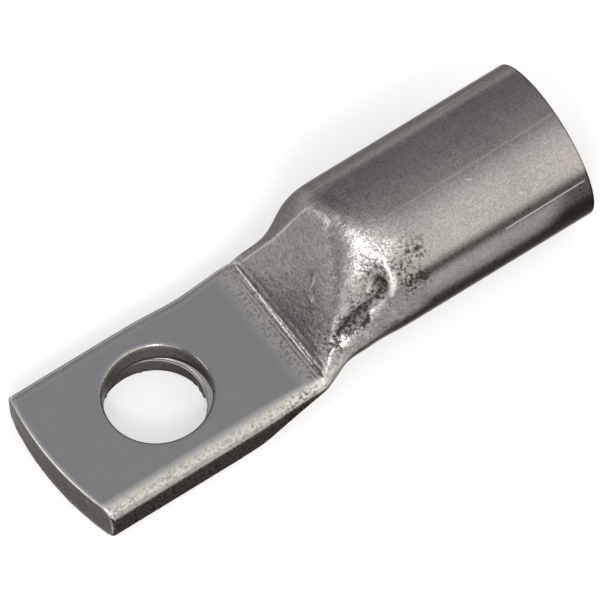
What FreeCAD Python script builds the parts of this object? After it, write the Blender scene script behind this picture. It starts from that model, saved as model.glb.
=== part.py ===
import FreeCAD, Part
import Sketcher
import math
import os

# A tubular cable lug, pressed from one length of tinned copper tube.
# Frame: origin on the axis of the bolt hole at the contact face, +X towards the cable, +Z up.
# The contact face and the lowest line of the barrel both lie on z = 0, so the lug lies flat.

# Driving dimensions in millimetres: alias, value, what it is.
SIZES = [
    ("tube_diameter", 16.5, "outside diameter of the tube, which stays as the barrel"),
    ("wall", 2.5, "wall of the tube; the palm is two walls thick"),
    ("palm_width", 17.0, "width of the pressed palm"),
    ("palm_reach", 12.3, "bolt hole's centre to the furthest point of the bowed end"),
    ("end_bow", 33.0, "radius of the bowed cut across the palm's end"),
    ("end_edge", 0.2, "edge taken off round the palm's cropped end"),
    ("upper_edge", 1.6, "radius of the palm's long edges, upper side"),
    ("lower_edge", 1.3, "radius of the palm's long edges, contact side"),
    ("hole_diameter", 10.5, "clear hole for the bolt"),
    ("hole_rim", 0.4, "radius that the punch rolls over at the hole's upper rim"),
    ("heel_start", 6.5, "hole's centre to where the lower edges begin to round up"),
    ("crease_distance", 13.7, "hole's centre to the crease where the ramp starts"),
    ("crease_pinch", 0.3, "how much narrower than the palm the tube is at the crease"),
    ("crease_toe", 3.0, "width of the flat underside at the crease"),
    ("crease_edge", 1.4, "how far below the flat top the tube is widest at the crease"),
    ("crease_shoulder", 1.05, "width from the flat top's ridge out to that widest line"),
    ("coin_width", 1.0, "width of the shallow groove that the punch coins along the crease"),
    ("coin_depth", 0.2, "depth of that groove"),
    ("ramp_run", 7.0, "crease to the point where the ramp's plane meets the top of the barrel"),
    ("crown_flat", 5.8, "width between the ridges where the ramp meets the barrel"),
    ("crown_blend", 0.9, "length, each way along the tube, that the crown is rounded over"),
    ("waist_pinch", 0.3, "how much narrower than the tube the neck is half way up the ramp"),
    ("waist_side", 5.8, "height of the neck's widest line half way up the ramp"),
    ("flank_radius", 10.5, "bulge of the flanks beside the ramp"),
    ("barrel_length", 24.0, "meeting point of ramp and barrel to the barrel's mouth"),
    ("mouth_chamfer", 0.5, "chamfer inside the mouth, to lead the strands in"),
    ("mouth_edge", 0.25, "chamfer left outside the mouth by deburring"),
    ("seam_gap", 0.4, "opening at the throat's end, where the tube's two walls close on each other"),
]

# Where the sections' corners lie: along the ramp's run, or sideways as shares of a radius.
WAIST_SHARE = 0.47
ROUND_TOE = 0.1
ROUND_LOWER_SIDE = 0.97
ROUND_UPPER_SIDE = 0.98
THROAT_SIDE = 0.8
THROAT_RIDGE = 0.35

doc = FreeCAD.newDocument("cable_lug")
sheet = doc.addObject("Spreadsheet::Sheet", "Sizes")
for row, (alias, value, meaning) in enumerate(SIZES, start=1):
    sheet.set(f"A{row}", alias)
    sheet.set(f"B{row}", str(value))
    sheet.set(f"C{row}", meaning)
    sheet.setAlias(f"B{row}", alias)
doc.recompute()
body = doc.addObject("PartDesign::Body", "Lug")


# Expressions
def cell(alias):
    """The expression that reads one driving dimension."""
    return f"<<Sizes>>.{alias}"


def half(alias):
    """The expression for half of one driving dimension."""
    return f"({cell(alias)} / 2)"


def value_of(expression):
    """The number that an expression gives now, in millimetres."""
    result = body.evalExpression(expression)
    return getattr(result, "Value", result)


def arc_through(run, rise):
    """The expression for the radius of an arc that leaves along the run and climbs by the rise."""
    return f"((({run})^2 + ({rise})^2) / (2 * ({rise})))"


# Sketches
def plane_of(role):
    """One of the body's origin planes."""
    return next(f for f in body.Origin.OriginFeatures if f.Role == role)


def sketch_on(role, name, offset=None):
    """A sketch on one of the body's origin planes, moved along the plane's normal by an expression."""
    sketch = body.newObject("Sketcher::SketchObject", name)
    sketch.AttachmentSupport = (plane_of(role), [""])
    sketch.MapMode = "FlatFace"
    if offset:
        sketch.setExpression("AttachmentOffset.Base.z", offset)
    return sketch


def constrain(sketch, kind, *where, size=None):
    """Adds one constraint, and ties its size to an expression where it has one."""
    if size is None:
        sketch.addConstraint(Sketcher.Constraint(kind, *where))
        return
    index = sketch.addConstraint(Sketcher.Constraint(kind, *where, value_of(size)))
    sketch.setExpression(f"Constraints[{index}]", size)


def circle_on(sketch, diameter, right="0", up="0"):
    """A circle whose centre lies this far right of the sketch's origin and this far up."""
    centre = FreeCAD.Vector(value_of(right), value_of(up), 0)
    sketch.addGeometry(Part.Circle(centre, FreeCAD.Vector(0, 0, 1), value_of(diameter) / 2), False)
    constrain(sketch, "Diameter", 0, size=diameter)
    for distance, kind, axis in ((right, "DistanceX", -2), (up, "DistanceY", -1)):
        if value_of(distance) == 0:
            constrain(sketch, "PointOnObject", 0, 3, axis)
        else:
            constrain(sketch, kind, -1, 1, 0, 3, size=distance)


def arc_or_line(start, end, radius):
    """A straight edge, or the shorter arc that bulges to the right on the way from start to end."""
    if radius is None:
        return Part.LineSegment(start, end)
    chord = end - start
    depth = math.sqrt(max(radius**2 - (chord.Length / 2) ** 2, 0.0))
    centre = (start + end) / 2 + FreeCAD.Vector(-chord.y, chord.x, 0).normalize() * depth
    first = math.atan2(start.y - centre.y, start.x - centre.x)
    last = math.atan2(end.y - centre.y, end.x - centre.x)
    circle = Part.Circle(centre, FreeCAD.Vector(0, 0, 1), radius)
    return Part.ArcOfCircle(circle, first, last if last > first else last + 2 * math.pi)


def tube_section(name, station, corners, radii):
    """A closed section across the tube with eight edges, alike on both sides of the middle plane.

    corners are four (y, z) pairs from the underside up: toe, lower side, upper side, ridge.
    radii are for the underside, the belly, the side, the flank and the top; None is straight.
    """
    sketch = sketch_on("YZ_Plane", name, station)
    right = [FreeCAD.Vector(value_of(y), value_of(z), 0) for y, z in corners]
    loop = right + [FreeCAD.Vector(-p.x, p.y, 0) for p in reversed(right)]
    edge_radii = radii + radii[-2:0:-1]
    for k, radius in enumerate(edge_radii):
        sketch.addGeometry(arc_or_line(loop[k - 1], loop[k], radius and value_of(radius)), False)
    count = len(loop)
    for k in range(count):
        constrain(sketch, "Coincident", k, 2, (k + 1) % count, 1)
    for k, (y, z) in enumerate(corners):
        constrain(sketch, "Symmetric", k, 2, count - 1 - k, 2, -2)
        constrain(sketch, "DistanceX", -1, 1, k, 2, size=y)
        if value_of(z) == 0:
            constrain(sketch, "PointOnObject", k, 2, -1)
        else:
            constrain(sketch, "DistanceY", -1, 1, k, 2, size=z)
    for k, radius in enumerate(edge_radii):
        if radius:
            constrain(sketch, "Radius", k, size=radius)
    return sketch


# Features
def finish(feature, **expressions):
    """Ties a feature's sizes to expressions, recomputes it and hands it back."""
    for size, expression in expressions.items():
        feature.setExpression(size, expression)
    doc.recompute()
    return feature


def loft_between(name, sections):
    """A smooth loft through the sections, added to the body."""
    loft = body.newObject("PartDesign::AdditiveLoft", name)
    loft.Profile = sections[0]
    loft.Sections = [(section, [""]) for section in sections[1:]]
    return finish(loft)


def cut_through(name, profile):
    """A pocket that cuts the profile through the whole body, both ways."""
    pocket = body.newObject("PartDesign::Pocket", name)
    pocket.Profile = profile
    pocket.Type = "ThroughAll"
    pocket.Midplane = True
    return finish(pocket)


def dress(kind, name, base, chosen, **expressions):
    """A fillet or a chamfer on those edges of the base feature for which the chosen test holds."""
    feature = body.newObject(kind, name)
    edges = [f"Edge{k}" for k, edge in enumerate(base.Shape.Edges, start=1) if chosen(edge)]
    feature.Base = (base, edges)
    return finish(feature, **expressions)


def ring_at(axis, position, diameter):
    """A test for the circular edge of this diameter that lies at this place along an axis."""
    def chosen(edge):
        curve = edge.Curve
        if not isinstance(curve, Part.Circle):
            return False
        off_size = abs(curve.Radius * 2 - value_of(diameter))
        off_place = abs(getattr(curve.Center, axis) - value_of(position))
        return max(off_size, off_place) < 0.01
    return chosen


# Sizes that follow from the driving dimensions
tube_radius = half("tube_diameter")
bore_diameter = f"({cell('tube_diameter')} - {cell('wall')} * 2)"
thickness = f"({cell('wall')} * 2)"
crown = f"({cell('crease_distance')} + {cell('ramp_run')})"
mouth = f"({crown} + {cell('barrel_length')})"
ramp_slope = f"(({cell('tube_diameter')} - {thickness}) / {cell('ramp_run')})"
wall_drop = f"({cell('wall')} * sqrt(1 + {ramp_slope}^2))"
bore_radius = f"({bore_diameter} / 2)"
bore_top = f"({cell('tube_diameter')} - {cell('wall')})"
bore_end = f"({cell('crease_distance')} + ({bore_top} - {thickness} + {wall_drop}) / {ramp_slope})"
crease_half = f"(({cell('palm_width')} - {cell('crease_pinch')}) / 2)"
crease_flat_half = f"({crease_half} - {cell('crease_shoulder')})"
waist_half = f"(({cell('tube_diameter')} - {cell('waist_pinch')}) / 2)"
waist = f"({cell('crease_distance')} + {cell('ramp_run')} * {WAIST_SHARE})"
shoulder = f"({crown} - {cell('crown_blend')})"
tube_start = f"({crown} + {cell('crown_blend')})"


def ramp_corner(station):
    """The (y, z) pair for the ridge of the ramp's plane at a station along the tube."""
    along = f"(({station} - {cell('crease_distance')}) / {cell('ramp_run')})"
    y = f"({crease_flat_half} + ({half('crown_flat')} - {crease_flat_half}) * {along})"
    return (y, f"({thickness} + ({cell('tube_diameter')} - {thickness}) * {along})")


def circle_corner(y, radius, upper):
    """The (y, z) pair for the point at this y on a circle round the tube's axis, upper or lower half."""
    sign = "+" if upper else "-"
    return (y, f"({tube_radius} {sign} sqrt({radius}^2 - ({y})^2))")


def tube_corner(y, upper):
    """The (y, z) pair for the point of the tube's own circle at this y, on its upper or lower half."""
    return circle_corner(y, tube_radius, upper)


# Palm: two walls pressed flat, with rounded long edges, left one wall too long to be cropped.
palm_section = tube_section(
    "PalmSection",
    cell("heel_start"),
    corners=[
        (f"({half('palm_width')} - {cell('lower_edge')})", "0"),
        (half("palm_width"), cell("lower_edge")),
        (half("palm_width"), f"({thickness} - {cell('upper_edge')})"),
        (f"({half('palm_width')} - {cell('upper_edge')})", thickness),
    ],
    radii=[None, cell("lower_edge"), None, cell("upper_edge"), None],
)
palm = body.newObject("PartDesign::Pad", "Palm")
palm.Profile = palm_section
palm.Reversed = True
finish(palm, Length=f"{cell('heel_start')} + {cell('palm_reach')} + {cell('wall')}")

# Heel: the underside rounds up towards the tube's own curve while the top stays flat.
crease_side = f"({thickness} - {cell('crease_edge')})"
crease_section = tube_section(
    "CreaseSection",
    cell("crease_distance"),
    corners=[
        (half("crease_toe"), "0"),
        (crease_half, crease_side),
        (crease_half, f"({crease_side} + {cell('crease_edge')} * 0.2)"),
        (crease_flat_half, thickness),
    ],
    radii=[
        None,
        arc_through(f"{crease_half} - {half('crease_toe')}", crease_side),
        None,
        arc_through(f"{cell('crease_edge')} * 0.8", cell("crease_shoulder")),
        None,
    ],
)
heel = loft_between("Heel", [palm_section, crease_section])

# Neck: the press-formed ramp between sloping flanks, on a belly that keeps the tube's curve.
waist_toe = f"({half('crease_toe')} * 0.4)"
waist_section = tube_section(
    "WaistSection",
    waist,
    corners=[
        tube_corner(waist_toe, upper=False),
        (waist_half, cell("waist_side")),
        (f"({waist_half} - {cell('wall')} * 0.05)", f"({cell('waist_side')} + {half('wall')})"),
        ramp_corner(waist),
    ],
    radii=[
        tube_radius,
        arc_through(f"{waist_half} - {waist_toe}", cell("waist_side")),
        cell("wall"),
        cell("flank_radius"),
        None,
    ],
)
shoulder_section = tube_section(
    "ShoulderSection",
    shoulder,
    corners=[
        tube_corner(f"({tube_radius} * {ROUND_TOE})", upper=False),
        tube_corner(f"({tube_radius} * {ROUND_LOWER_SIDE})", upper=False),
        tube_corner(f"({tube_radius} * {ROUND_UPPER_SIDE})", upper=True),
        ramp_corner(shoulder),
    ],
    radii=[tube_radius, tube_radius, tube_radius, cell("flank_radius"), None],
)
round_section = tube_section(
    "RoundSection",
    tube_start,
    corners=[
        tube_corner(f"({tube_radius} * {ROUND_TOE})", upper=False),
        tube_corner(f"({tube_radius} * {ROUND_LOWER_SIDE})", upper=False),
        tube_corner(f"({tube_radius} * {ROUND_UPPER_SIDE})", upper=True),
        tube_corner(half("crown_flat"), upper=True),
    ],
    radii=[tube_radius] * 5,
)
neck = loft_between("Neck", [crease_section, waist_section, shoulder_section, round_section])

# Barrel: the tube as it was.
barrel_circle = sketch_on("YZ_Plane", "BarrelCircle", tube_start)
circle_on(barrel_circle, cell("tube_diameter"), up=tube_radius)
barrel = body.newObject("PartDesign::Pad", "Barrel")
barrel.Profile = barrel_circle
finish(barrel, Length=f"{mouth} - {tube_start}")

# Cropped end: the palm is cut off along a shallow bow.
end_cut = sketch_on("XY_Plane", "EndCut")
bow = value_of(cell("end_bow"))
bow_centre = FreeCAD.Vector(bow - value_of(cell("palm_reach")), 0, 0)
cut_half = f"({cell('palm_width')} * 0.6)"
half_angle = math.asin(value_of(cut_half) / bow)
bow_circle = Part.Circle(bow_centre, FreeCAD.Vector(0, 0, 1), bow)
bow_arc = Part.ArcOfCircle(bow_circle, math.pi - half_angle, math.pi + half_angle)
cut_far = f"({cell('palm_reach')} + {cell('palm_width')})"
far_low = FreeCAD.Vector(-value_of(cut_far), bow_arc.EndPoint.y, 0)
far_high = FreeCAD.Vector(-value_of(cut_far), bow_arc.StartPoint.y, 0)
end_cut.addGeometry(bow_arc, False)
end_cut.addGeometry(Part.LineSegment(bow_arc.EndPoint, far_low), False)
end_cut.addGeometry(Part.LineSegment(far_low, far_high), False)
end_cut.addGeometry(Part.LineSegment(far_high, bow_arc.StartPoint), False)
for edge in range(4):
    constrain(end_cut, "Coincident", edge, 2, (edge + 1) % 4, 1)
constrain(end_cut, "Horizontal", 1)
constrain(end_cut, "Vertical", 2)
constrain(end_cut, "Symmetric", 0, 1, 0, 2, -1)
constrain(end_cut, "PointOnObject", 0, 3, -1)
constrain(end_cut, "Radius", 0, size=cell("end_bow"))
constrain(end_cut, "DistanceX", -1, 1, 0, 3, size=f"{cell('end_bow')} - {cell('palm_reach')}")
constrain(end_cut, "DistanceY", -1, 1, 0, 1, size=cut_half)
constrain(end_cut, "DistanceX", 2, 1, -1, 1, size=cut_far)
cropped = cut_through("CroppedEnd", end_cut)

# Coined groove: the mark that the punch's edge leaves across the palm, just before the ramp.
coin_radius = arc_through(half("coin_width"), cell("coin_depth"))
coin_circle = sketch_on("XZ_Plane", "CoinCircle")
circle_on(
    coin_circle,
    f"({coin_radius} * 2)",
    right=f"({cell('crease_distance')} - {cell('coin_width')} * 0.7)",
    up=f"({thickness} - {cell('coin_depth')} + {coin_radius})",
)
coined = cut_through("CoinedGroove", coin_circle)

# Bore: round all the way to where the ramp's inner face would meet its top.
bore_circle = sketch_on("YZ_Plane", "BoreCircle", mouth)
circle_on(bore_circle, bore_diameter, up=tube_radius)
bore = body.newObject("PartDesign::Pocket", "Bore")
bore.Profile = bore_circle
finish(bore, Length=f"{mouth} - {bore_end}")


def throat_station(ceiling):
    """The expression for where the ramp's inner face, one wall inside the outer, has this height."""
    return f"({cell('crease_distance')} + ({ceiling} - {thickness} + {wall_drop}) / {ramp_slope})"


def bore_corner(y, upper=False):
    """The (y, z) pair for the point of the bore's circle at this y, on its lower or its upper half."""
    return circle_corner(y, bore_radius, upper)


# Throat: the bore's floor runs on while the ramp's inner face comes down to it.
bore_section = tube_section(
    "BoreSection",
    bore_end,
    corners=[
        bore_corner(f"({bore_radius} * {ROUND_TOE})"),
        bore_corner(f"({bore_radius} * {THROAT_SIDE})"),
        bore_corner(f"({bore_radius} * {ROUND_UPPER_SIDE})", upper=True),
        bore_corner(f"({bore_radius} * {THROAT_RIDGE})", upper=True),
    ],
    radii=[bore_radius] * 5,
)
half_closed = tube_section(
    "HalfClosedSection",
    throat_station(tube_radius),
    corners=[
        bore_corner(f"({bore_radius} * {ROUND_TOE})"),
        bore_corner(f"({bore_radius} * {THROAT_SIDE})"),
        bore_corner(f"({bore_radius} * {ROUND_UPPER_SIDE})"),
        (f"({bore_radius} * 0.85)", tube_radius),
    ],
    radii=[bore_radius, bore_radius, bore_radius, half("wall"), None],
)
slit_half = f"({bore_radius} * 0.45)"
slit_ceiling = f"({tube_radius} - sqrt({bore_radius}^2 - {slit_half}^2) + {cell('seam_gap')})"
closed_section = tube_section(
    "ClosedSection",
    throat_station(slit_ceiling),
    corners=[
        bore_corner(f"({slit_half} * {ROUND_TOE})"),
        bore_corner(f"({slit_half} * {THROAT_SIDE})"),
        bore_corner(slit_half),
        (f"({slit_half} * 0.85)", slit_ceiling),
    ],
    radii=[bore_radius, bore_radius, bore_radius, half("wall"), None],
)
throat = body.newObject("PartDesign::SubtractiveLoft", "Throat")
throat.Profile = bore_section
throat.Sections = [(half_closed, [""]), (closed_section, [""])]
finish(throat)

# Bolt hole: punched through both walls, with its upper rim rolled over.
hole_circle = sketch_on("XY_Plane", "HoleCircle")
circle_on(hole_circle, cell("hole_diameter"))
hole = cut_through("BoltHole", hole_circle)
rim_edge = ring_at("z", thickness, cell("hole_diameter"))
rim = dress("PartDesign::Fillet", "HoleRim", hole, rim_edge, Radius=cell("hole_rim"))

# Mouth: chamfered inside to lead the strands in, and deburred outside.
inner_edge = ring_at("x", mouth, bore_diameter)
lead_in = dress("PartDesign::Chamfer", "MouthChamfer", rim, inner_edge, Size=cell("mouth_chamfer"))
outer_edge = ring_at("x", mouth, cell("tube_diameter"))
deburred = dress("PartDesign::Chamfer", "MouthEdge", lead_in, outer_edge, Size=cell("mouth_edge"))


def cropped_top(edge):
    """A test for the upper edge of the cropped end; the cut runs on from it all the way round."""
    box = edge.BoundBox
    before_hole = box.XMax < -value_of(half("hole_diameter"))
    on_top = box.ZMin > value_of(thickness) - 0.01
    return before_hole and on_top and box.YLength > box.XLength


end_edge = dress("PartDesign::Chamfer", "EndEdge", deburred, cropped_top, Size=cell("end_edge"))
body.Tip = end_edge
doc.recompute()

# Every object has to be whole before the solid is written.
for item in doc.Objects:
    if "Invalid" in item.State or "Error" in item.State:
        raise RuntimeError(f"{item.Name} did not build: {item.State}")
lug = body.Shape
if lug.isNull() or not lug.isValid() or len(lug.Solids) != 1:
    raise RuntimeError("the lug is not one valid solid")
os.makedirs("parts", exist_ok=True)
lug.exportStep("parts/cable_lug.step")
print(f"cable_lug: {lug.Volume:.1f} cubic mm, {len(lug.Faces)} faces")
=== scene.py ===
"""Copper cable lug: looks, studio and camera, in the frame that the construction model gives."""

import logging
import math
from dataclasses import dataclass
from enum import Enum

import bpy
import numpy as np
from mathutils import Matrix, Vector

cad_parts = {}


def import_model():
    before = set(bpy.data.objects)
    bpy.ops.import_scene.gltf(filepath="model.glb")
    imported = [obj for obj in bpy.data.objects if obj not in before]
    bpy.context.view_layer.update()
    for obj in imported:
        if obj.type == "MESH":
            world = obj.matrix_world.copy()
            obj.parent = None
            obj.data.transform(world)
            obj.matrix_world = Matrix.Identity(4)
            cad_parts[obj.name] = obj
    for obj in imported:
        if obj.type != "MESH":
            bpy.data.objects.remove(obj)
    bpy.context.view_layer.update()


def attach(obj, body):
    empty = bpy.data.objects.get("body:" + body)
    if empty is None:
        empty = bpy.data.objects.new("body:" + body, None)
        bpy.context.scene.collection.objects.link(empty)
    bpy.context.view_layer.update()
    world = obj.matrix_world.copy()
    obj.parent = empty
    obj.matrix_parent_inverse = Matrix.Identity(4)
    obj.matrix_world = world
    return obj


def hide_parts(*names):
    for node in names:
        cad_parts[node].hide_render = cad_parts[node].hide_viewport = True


LOG = logging.getLogger("cable_lug")
MM = 0.001
NODE = "cable_lug"

Pair = tuple[float, float]
Triple = tuple[float, float, float]
Sockets = dict[str, bpy.types.NodeSocket]

# Steps along the edges of a cross-section: underside, far belly, far side, far flank, top, near flank,
# near side and near belly.
EDGE_STEPS = (68, 36, 4, 36, 68, 36, 4, 36)
COLUMNS = sum(EDGE_STEPS)
TOP_START = sum(EDGE_STEPS[:4])
TOP_MIDDLE = TOP_START + EDGE_STEPS[4] // 2
UNDERSIDE_MIDDLE = EDGE_STEPS[0] // 2


def linear(hex_colour: str) -> tuple[float, float, float, float]:
    """Turn an sRGB hex colour into Blender's linear values.

    Args:
        hex_colour: Six hex digits after a hash.

    Returns:
        Linear red, green and blue, and an alpha of 1.
    """
    parts = [int(hex_colour[k:k + 2], 16) / 255.0 for k in (1, 3, 5)]
    values = [c / 12.92 if c <= 0.04045 else ((c + 0.055) / 1.055) ** 2.4 for c in parts]
    return values[0], values[1], values[2], 1.0


def smooth_step(low: float, high: float, value: np.ndarray) -> np.ndarray:
    """Rise smoothly from 0 at low to 1 at high.

    Args:
        low: Where the rise starts; it may be larger than high for a fall.
        high: Where the rise ends.
        value: Places at which it is read.

    Returns:
        The height 3t^2 - 2t^3 of the clipped share t.
    """
    share = np.clip((value - low) / (high - low), 0.0, 1.0)
    return share * share * (3.0 - 2.0 * share)


def bump(value: np.ndarray, centre: float, width: float) -> np.ndarray:
    """Give a bell-shaped hump.

    Args:
        value: Places at which it is read.
        centre: Where it is 1.
        width: Distance at which it has fallen to about 0.37.

    Returns:
        exp(-((value - centre) / width)^2).
    """
    return np.exp(-((value - centre) / width) ** 2)


def lattice_noise(points: np.ndarray, cell: float, seed: int) -> np.ndarray:
    """Give a smooth noise in -1..1 that is fixed to the object.

    Each corner of a cubic lattice has a random height, and a point takes the smoothly weighted
    mean of the eight corners round it.

    Args:
        points: Positions in millimetres, with x, y, z in the last axis.
        cell: Lattice spacing in millimetres.
        seed: Seed of the random heights.

    Returns:
        One height for each point.
    """
    heights = np.random.default_rng(seed).uniform(-1.0, 1.0, (64, 64, 64))
    place = points / cell + 500.0
    base = np.floor(place).astype(int)
    part = place - base
    part = part * part * (3.0 - 2.0 * part)
    total = np.zeros(points.shape[:-1])
    for corner in range(8):
        step = np.array([corner & 1, corner >> 1 & 1, corner >> 2 & 1])
        weight = np.prod(np.where(step == 1, part, 1.0 - part), axis=-1)
        cell_index = (base + step) % 64
        total += weight * heights[cell_index[..., 0], cell_index[..., 1], cell_index[..., 2]]
    return total


def hermite(stations: np.ndarray, values: np.ndarray, slopes: np.ndarray, x: np.ndarray) -> np.ndarray:
    """Carry rows of values along x with a given slope at each station.

    Between two stations each value follows the cubic that has both values and both slopes.

    Args:
        stations: Rising x of the stations.
        values: One row of values for each station.
        slopes: The change of those values per millimetre at each station.
        x: Places at which rows are wanted.

    Returns:
        One row of values for each place.
    """
    span = np.clip(np.searchsorted(stations, x, side="right") - 1, 0, len(stations) - 2)
    length = (stations[span + 1] - stations[span])[:, None]
    t = ((x - stations[span])[:, None] / length).clip(0.0, 1.0)
    low = values[span] * (2 * t ** 3 - 3 * t ** 2 + 1) + slopes[span] * length * (t ** 3 - 2 * t ** 2 + t)
    high = values[span + 1] * (3 * t ** 2 - 2 * t ** 3) + slopes[span + 1] * length * (t ** 3 - t ** 2)
    return low + high


def arc(start: np.ndarray, end: np.ndarray, half_angle: np.ndarray, steps: int) -> np.ndarray:
    """Walk circular arcs from start towards end, one for each row.

    A point at share t lies at the chord's middle, plus half the chord times
    sin((2t-1)a)/sin(a) along it, plus half the chord times (cos((2t-1)a)-cos(a))/sin(a)
    outwards, where a is half the angle that the arc turns. At a = 0 that is the chord itself.

    Args:
        start: Start points (y, z), one for each row.
        end: End points (y, z), one for each row.
        half_angle: Half the turned angle in radians, one for each row.
        steps: Number of steps; the end point is left to the next edge.

    Returns:
        Points of shape rows, steps, 2.
    """
    share = (2.0 * np.arange(steps) / steps - 1.0)[None, :]
    angle = np.maximum(np.abs(half_angle), 1e-5)[:, None]
    along = np.sin(share * angle) / np.sin(angle)
    out = (np.cos(share * angle) - np.cos(angle)) / np.sin(angle)
    half = 0.5 * (end - start)
    outward = np.stack([half[:, 1], -half[:, 0]], axis=-1)
    middle = 0.5 * (end + start)
    return middle[:, None] + along[..., None] * half[:, None] + out[..., None] * outward[:, None]


def relax(points: np.ndarray, weight: np.ndarray, rounds: int) -> np.ndarray:
    """Round off a grid's edges where the weight asks for it.

    In each round a point moves along its normal, by its weight times the mean of its distances to
    the line between its neighbours in the row and to the one between those in the column. The
    neighbours count by how near they are, so that rows and columns keep their spacing. The
    normals are worked out afresh every six rounds.

    Args:
        points: Grid of positions.
        weight: Share from 0 to 1 for each point.
        rounds: Number of rounds.

    Returns:
        The rounded grid.
    """
    rows = np.flatnonzero(weight.max(axis=1) > 0.0)
    part = slice(rows[0] - 1, rows[-1] + 2)
    patch = points[part].copy()
    share = 0.5 * weight[part][1:-1, :, None]
    before, after = np.roll(patch, 1, axis=1), np.roll(patch, -1, axis=1)
    left, right = (np.linalg.norm(patch - side, axis=-1)[1:-1, :, None] for side in (before, after))
    gap = np.linalg.norm(np.diff(patch, axis=0), axis=-1)[..., None]
    lower, upper = gap[:-1], gap[1:]
    for turn in range(rounds):
        if turn % 6 == 0:
            normal = surface_normals(patch)[1:-1]
        inner = patch[1:-1]
        before, after = np.roll(inner, 1, axis=1), np.roll(inner, -1, axis=1)
        around = (before * right + after * left) / (left + right)
        along = (patch[:-2] * upper + patch[2:] * lower) / (lower + upper)
        drift = np.sum((around + along - 2.0 * inner) * normal, axis=-1)[..., None]
        patch[1:-1] += drift * normal * share
    return np.concatenate([points[:part.start], patch, points[part.stop:]])


@dataclass(frozen=True)
class Stroke:
    """A ridge or valley that follows a curve, in millimetres.

    Attributes:
        path: Points (x, y, z) near the surface through which the curve runs.
        height: Height over the surface, negative for a valley.
        width: Distance from the curve at which it has fallen to about 0.37.
        fade: Length over which it dies out at either end.
    """

    path: tuple[Triple, ...]
    height: float
    width: float
    fade: float

    def lift(self, points: np.ndarray) -> np.ndarray:
        """Give the stroke's height at each point.

        The path's points are first moved to the nearest points of the surface. The height is the
        largest of height * exp(-(d / width)^2) * f over places on the curve, with d the distance
        to the place and f the smooth rise from the curve's ends.

        Args:
            points: Positions of shape rows, columns, 3.

        Returns:
            Heights of shape rows, columns.
        """
        flat = points.reshape(-1, 3)
        path = np.array([flat[np.argmin(np.sum((flat - stop) ** 2, axis=1))] for stop in self.path])
        walked = np.append(0.0, np.cumsum(np.linalg.norm(np.diff(path, axis=0), axis=1)))
        length = walked[-1]
        place = np.linspace(0.0, length, max(8, round(length / (0.3 * self.width))))
        curve = hermite(walked, path, np.gradient(path, walked, axis=0), place)
        rise = smooth_step(0.0, self.fade, place) * smooth_step(length, length - self.fade, place)
        reach = 3.0 * self.width
        close = np.all((flat > path.min(axis=0) - reach) & (flat < path.max(axis=0) + reach), axis=1)
        share = np.zeros(len(flat))
        for stop, top in zip(curve, rise):
            gap = np.sum((flat[close] - stop) ** 2, axis=1)
            share[close] = np.maximum(share[close], top * np.exp(-gap / self.width ** 2))
        return self.height * share.reshape(points.shape[:-1])


@dataclass(frozen=True)
class Facet:
    """A flat that the die's face left on a shoulder, in millimetres.

    Attributes:
        place: A point (x, y, z) of its plane.
        normal: Direction that it faces.
        soft: How gently it runs into the surface round it.
        start: Place along x where it sets in, over two millimetres.
    """

    place: Triple
    normal: Triple
    soft: float
    start: float

    def press(self, points: np.ndarray) -> np.ndarray:
        """Press the points that stand over the plane back to it.

        A point at height h moves back by soft * ln(1 + exp(h / soft)).

        Args:
            points: Positions with x, y, z in the last axis.

        Returns:
            The pressed points.
        """
        way = np.array(self.normal) / np.linalg.norm(self.normal)
        over = (points - np.array(self.place)) @ way
        depth = self.soft * np.logaddexp(0.0, over / self.soft)
        depth *= smooth_step(self.start, self.start + 2.0, points[..., 0])
        return points - depth[..., None] * way


@dataclass(frozen=True)
class Section:
    """One cross-section of the lug's outside, in millimetres, for the far half.

    Attributes:
        x: Its place along the lug.
        toe: Where the underside ends, as (y, z).
        lower: Lower end of the side.
        upper: Upper end of the side.
        ridge: Where the top ends.
        radii: Radii of underside, belly, side, flank and top, with 0 for a straight one.
    """

    x: float
    toe: Pair
    lower: Pair
    upper: Pair
    ridge: Pair
    radii: tuple[float, float, float, float, float]

    def row(self) -> np.ndarray:
        """Give the section as one row of numbers.

        An edge with a chord c and a radius r turns by twice asin(c / (2r)).

        Returns:
            The eight coordinates and the five half angles.
        """
        spans = ((self.toe, (-self.toe[0], self.toe[1])), (self.toe, self.lower), (self.lower, self.upper),
                 (self.upper, self.ridge), (self.ridge, (-self.ridge[0], self.ridge[1])))
        angles = [math.asin(math.dist(a, b) / (2 * r)) if r else 0.0 for (a, b), r in zip(spans, self.radii)]
        return np.array([*self.toe, *self.lower, *self.upper, *self.ridge, *angles])


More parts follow.
